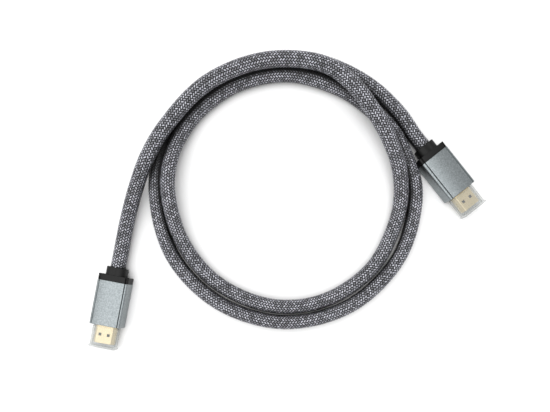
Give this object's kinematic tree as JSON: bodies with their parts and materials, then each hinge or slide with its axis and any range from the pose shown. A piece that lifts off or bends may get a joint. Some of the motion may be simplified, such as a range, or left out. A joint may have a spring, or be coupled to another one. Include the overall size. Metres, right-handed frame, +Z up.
{
  "type": "hdmi cable",
  "caption": "Thick braided digital audio and video cable lying in a loose ring, with a metal-sleeved plug and a clear pull-off cap at each end.",
  "frame": {"origin": "on the floor, under the middle of the box that holds the two plugs with their caps", "axes": "+Z up out of the floor that the cable lies on, +X from the plug at the left to the plug at the right, +Y away from the viewer, across the ring towards the side where it has its third pass"},
  "size_m": [0.2628, 0.199, 0.0202],
  "materials": {
    "anodised_aluminium": "fine bead-blasted and anodised blue-grey",
    "black_moulding": "satin moulded black",
    "gold_plate": "bright gold plating",
    "clear_cap": "clear moulded plastic, slightly grey",
    "braid": "woven nylon monofilament over a dark jacket, grey and black"
  },
  "bodies": {
    "cable_and_plugs": {"cable": "braid", "sleeve_a": "anodised_aluminium", "moulding_a": "black_moulding", "insert_a": "black_moulding", "shell_a": "gold_plate", "sleeve_b": "anodised_aluminium", "moulding_b": "black_moulding", "insert_b": "black_moulding", "shell_b": "gold_plate", "contact_01_a": "gold_plate", "contact_02_a": "gold_plate", "contact_03_a": "gold_plate", "contact_04_a": "gold_plate", "contact_05_a": "gold_plate", "contact_06_a": "gold_plate", "contact_07_a": "gold_plate", "contact_08_a": "gold_plate", "contact_09_a": "gold_plate", "contact_10_a": "gold_plate", "contact_11_a": "gold_plate", "contact_12_a": "gold_plate", "contact_13_a": "gold_plate", "contact_14_a": "gold_plate", "contact_15_a": "gold_plate", "contact_16_a": "gold_plate", "contact_17_a": "gold_plate", "contact_18_a": "gold_plate", "contact_19_a": "gold_plate", "contact_01_b": "gold_plate", "contact_02_b": "gold_plate", "contact_03_b": "gold_plate", "contact_04_b": "gold_plate", "contact_05_b": "gold_plate", "contact_06_b": "gold_plate", "contact_07_b": "gold_plate", "contact_08_b": "gold_plate", "contact_09_b": "gold_plate", "contact_10_b": "gold_plate", "contact_11_b": "gold_plate", "contact_12_b": "gold_plate", "contact_13_b": "gold_plate", "contact_14_b": "gold_plate", "contact_15_b": "gold_plate", "contact_16_b": "gold_plate", "contact_17_b": "gold_plate", "contact_18_b": "gold_plate", "contact_19_b": "gold_plate"},
    "cap_a": {"cap_a": "clear_cap"},
    "cap_b": {"cap_b": "clear_cap"}
  },
  "joints": [
    {"name": "cap_a_slide", "type": "slide", "parent": "cable_and_plugs", "child": "cap_a", "axis": [-0.1874, -0.9823, 0], "range_m": [0, 0.014]},
    {"name": "cap_b_slide", "type": "slide", "parent": "cable_and_plugs", "child": "cap_b", "axis": [0.6225, -0.7826, 0], "range_m": [0, 0.014]}
  ]
}
